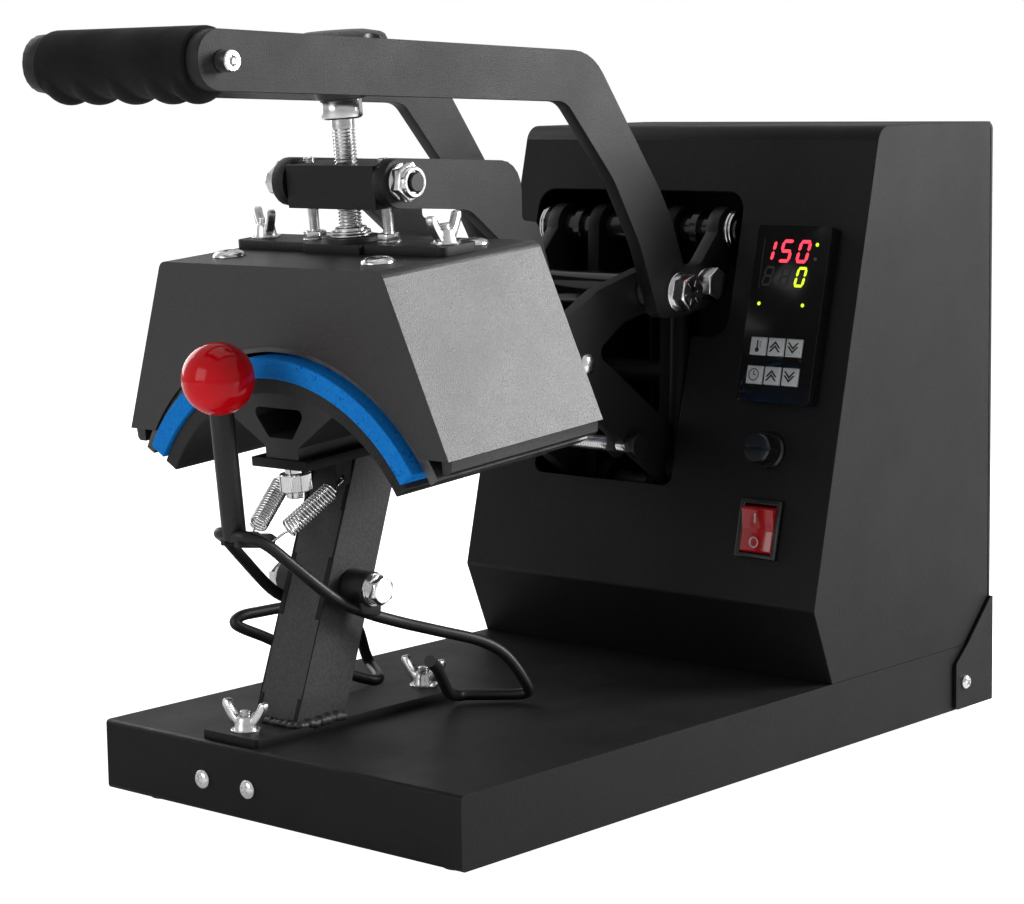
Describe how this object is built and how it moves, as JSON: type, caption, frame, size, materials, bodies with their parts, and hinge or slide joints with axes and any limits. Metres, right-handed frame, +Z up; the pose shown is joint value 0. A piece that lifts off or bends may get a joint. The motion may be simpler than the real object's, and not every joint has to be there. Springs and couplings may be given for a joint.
{
  "type": "cap heat press",
  "caption": "Clamshell heat press for caps: curved heated platen on linked arms with a long handle, padded curved form on a stand, and a control housing.",
  "frame": {"origin": "centre of the bounding box across and back, on the bench under the rubber feet", "axes": "+X to the right seen from the front where the handle and the form are, +Y back to the housing, +Z up"},
  "size_m": [0.2762, 0.5118, 0.3901],
  "materials": {
    "base_tray": "fine textured matt black powder coat",
    "housing_shell": "fine textured matt black powder coat",
    "back_plate": "fine textured matt black powder coat",
    "press_arms": "fine textured matt black powder coat",
    "handle_arms": "fine textured matt black powder coat",
    "cross_block": "fine textured matt black powder coat",
    "spreader_plate": "fine textured matt black powder coat",
    "platen_cover": "fine textured matt black powder coat",
    "stand_base_plate": "fine textured matt black powder coat",
    "stand_column": "fine textured matt black powder coat",
    "head_plate": "fine textured matt black powder coat",
    "frame_bracket": "matt black paint",
    "pull_links": "matt black paint",
    "gas_spring_bracket": "matt black paint",
    "hold_down_frame": "matt black paint",
    "base_feet": "matt rubber",
    "base_front_screws": "bright zinc plate",
    "back_plate_screws": "bright zinc plate",
    "cover_screws": "bright zinc plate",
    "spreader_wing_nuts": "bright zinc plate",
    "stand_wing_nuts": "bright zinc plate",
    "form_thumb_nut": "bright zinc plate",
    "block_bolts": "bright zinc plated steel",
    "guide_rods": "bright zinc plated steel",
    "pressure_screw": "bright zinc plated steel",
    "handle_shaft": "bright zinc plated steel",
    "upper_shaft": "bright zinc plated steel",
    "grip_rod": "bright zinc plated steel",
    "gas_spring_pin": "bright zinc plated steel",
    "hold_down_shaft": "bright zinc plated steel",
    "arm_tie_rod": "bright zinc plated steel",
    "frame_shafts": "bright zinc plated steel",
    "arm_tie_tube": "polished chrome",
    "screw_collar": "polished chrome",
    "gas_spring_rod": "polished chrome",
    "tension_spring_left": "polished chrome",
    "tension_spring_right": "polished chrome",
    "power_inlet": "fine grained black plastic",
    "controller_case": "fine grained black plastic",
    "fuse_holder": "fine grained black plastic",
    "fuse_cap": "fine grained black plastic",
    "switch_bezel": "fine grained black plastic",
    "controller_display": "dark glossy window",
    "key_top_left": "light grey key",
    "key_top_mid": "light grey key",
    "key_top_right": "light grey key",
    "key_low_left": "light grey key",
    "key_low_mid": "light grey key",
    "key_low_right": "light grey key",
    "switch_rocker": "translucent red plastic",
    "pressure_knob": "black moulded plastic",
    "heater_block": "satin cast aluminium",
    "lower_form": "dark coated aluminium",
    "insulation": "glass fibre felt",
    "handle_grip": "matt foam rubber",
    "gas_spring_tube": "black gloss paint",
    "cap_pad": "blue silicone foam with dark flecks",
    "ball_knob": "gloss red plastic"
  },
  "bodies": {
    "frame": {"base_tray": "base_tray", "base_feet": "base_feet", "base_front_screws": "base_front_screws", "housing_shell": "housing_shell", "back_plate": "back_plate", "back_plate_screws": "back_plate_screws", "power_inlet": "power_inlet", "controller_case": "controller_case", "controller_display": "controller_display", "fuse_holder": "fuse_holder", "switch_bezel": "switch_bezel", "frame_bracket": "frame_bracket", "frame_shafts": "frame_shafts", "gas_spring_bracket": "gas_spring_bracket", "stand_base_plate": "stand_base_plate", "stand_column": "stand_column", "stand_wing_nuts": "stand_wing_nuts", "head_plate": "head_plate", "lower_form": "lower_form", "cap_pad": "cap_pad", "form_thumb_nut": "form_thumb_nut", "hold_down_shaft": "hold_down_shaft", "tension_spring_left": "tension_spring_left", "tension_spring_right": "tension_spring_right"},
    "press_arm": {"press_arms": "press_arms", "arm_tie_tube": "arm_tie_tube", "arm_tie_rod": "arm_tie_rod", "cross_block": "cross_block", "block_bolts": "block_bolts"},
    "handle": {"handle_arms": "handle_arms", "handle_shaft": "handle_shaft", "upper_shaft": "upper_shaft", "handle_grip": "handle_grip", "grip_rod": "grip_rod", "gas_spring_pin": "gas_spring_pin"},
    "links": {"pull_links": "pull_links"},
    "gas_rod": {"gas_spring_rod": "gas_spring_rod"},
    "gas_tube": {"gas_spring_tube": "gas_spring_tube"},
    "platen": {"platen_cover": "platen_cover", "heater_block": "heater_block", "insulation": "insulation", "cover_screws": "cover_screws", "spreader_plate": "spreader_plate", "spreader_wing_nuts": "spreader_wing_nuts", "guide_rods": "guide_rods"},
    "screw": {"pressure_screw": "pressure_screw", "pressure_knob": "pressure_knob", "screw_collar": "screw_collar"},
    "hold_down": {"hold_down_frame": "hold_down_frame", "ball_knob": "ball_knob"},
    "key_tl": {"key_top_left": "key_top_left"},
    "key_tm": {"key_top_mid": "key_top_mid"},
    "key_tr": {"key_top_right": "key_top_right"},
    "key_ll": {"key_low_left": "key_low_left"},
    "key_lm": {"key_low_mid": "key_low_mid"},
    "key_lr": {"key_low_right": "key_low_right"},
    "rocker": {"switch_rocker": "switch_rocker"},
    "fuse_cap": {"fuse_cap": "fuse_cap"}
  },
  "joints": [
    {"name": "press_arm_hinge", "type": "hinge", "parent": "frame", "child": "press_arm", "pos_m": [-0.02435, 0.1706, 0.11], "axis": [-1, 0, 0], "range_deg": [0, 11]},
    {"name": "handle_hinge", "type": "hinge", "parent": "press_arm", "child": "handle", "pos_m": [-0.02435, 0.0896, 0.247], "axis": [-1, 0, 0], "range_deg": [0, 9.45]},
    {"name": "link_hinge", "type": "hinge", "parent": "frame", "child": "links", "pos_m": [-0.02435, 0.1316, 0.13], "axis": [-1, 0, 0], "range_deg": [0, 14.03]},
    {"name": "gas_spring_hinge", "type": "hinge", "parent": "frame", "child": "gas_rod", "pos_m": [0.02095, 0.1086, 0.147], "axis": [-1, 0, 0], "range_deg": [0, 14.14]},
    {"name": "gas_spring_stroke", "type": "slide", "parent": "gas_rod", "child": "gas_tube", "axis": [0, 0.0388, 0.9992], "range_m": [0, 0.00907]},
    {"name": "platen_slide", "type": "slide", "parent": "press_arm", "child": "platen", "axis": [0, -0.0767, 0.9971], "range_m": [0, 0.008]},
    {"name": "pressure_knob_turn", "type": "hinge", "parent": "platen", "child": "screw", "pos_m": [-0.02435, -0.10047, 0.31878], "axis": [0, -0.0767, 0.9971], "range_deg": [0, 960.5]},
    {"name": "hold_down_hinge", "type": "hinge", "parent": "frame", "child": "hold_down", "pos_m": [-0.02435, -0.1194, 0.111], "axis": [1, 0, 0], "range_deg": [0, 25], "stiffness_Nm_per_rad": 3, "springref_deg": -17.19, "deforming": ["tension_spring_left", "tension_spring_right"]},
    {"name": "key_top_left_press", "type": "slide", "parent": "frame", "child": "key_tl", "axis": [0, 0.9721, -0.2345], "range_m": [0, 0.0008], "stiffness_N_per_m": 400, "springref_m": -0.001},
    {"name": "key_top_mid_press", "type": "slide", "parent": "frame", "child": "key_tm", "axis": [0, 0.9721, -0.2345], "range_m": [0, 0.0008], "stiffness_N_per_m": 400, "springref_m": -0.001},
    {"name": "key_top_right_press", "type": "slide", "parent": "frame", "child": "key_tr", "axis": [0, 0.9721, -0.2345], "range_m": [0, 0.0008], "stiffness_N_per_m": 400, "springref_m": -0.001},
    {"name": "key_low_left_press", "type": "slide", "parent": "frame", "child": "key_ll", "axis": [0, 0.9721, -0.2345], "range_m": [0, 0.0008], "stiffness_N_per_m": 400, "springref_m": -0.001},
    {"name": "key_low_mid_press", "type": "slide", "parent": "frame", "child": "key_lm", "axis": [0, 0.9721, -0.2345], "range_m": [0, 0.0008], "stiffness_N_per_m": 400, "springref_m": -0.001},
    {"name": "key_low_right_press", "type": "slide", "parent": "frame", "child": "key_lr", "axis": [0, 0.9721, -0.2345], "range_m": [0, 0.0008], "stiffness_N_per_m": 400, "springref_m": -0.001},
    {"name": "switch_rocker_hinge", "type": "hinge", "parent": "frame", "child": "rocker", "pos_m": [0.09195, 0.09172, 0.12122], "axis": [1, 0, 0], "range_deg": [-16, 0]},
    {"name": "fuse_cap_turn", "type": "hinge", "parent": "frame", "child": "fuse_cap", "pos_m": [0.09105, 0.09977, 0.1631], "axis": [0, -0.9721, 0.2345], "range_deg": [0, 90]}
  ],
  "couplings": [
    {"joint": "handle_hinge", "follows": "press_arm_hinge", "ratio": 0.85785},
    {"joint": "link_hinge", "follows": "press_arm_hinge", "ratio": 1.274},
    {"joint": "gas_spring_hinge", "follows": "press_arm_hinge", "ratio": 1.2838},
    {"joint": "gas_spring_stroke", "follows": "press_arm_hinge", "m_per_rad": 0.046714},
    {"joint": "pressure_knob_turn", "follows": "platen_slide", "rad_per_m": 2094.4}
  ]
}
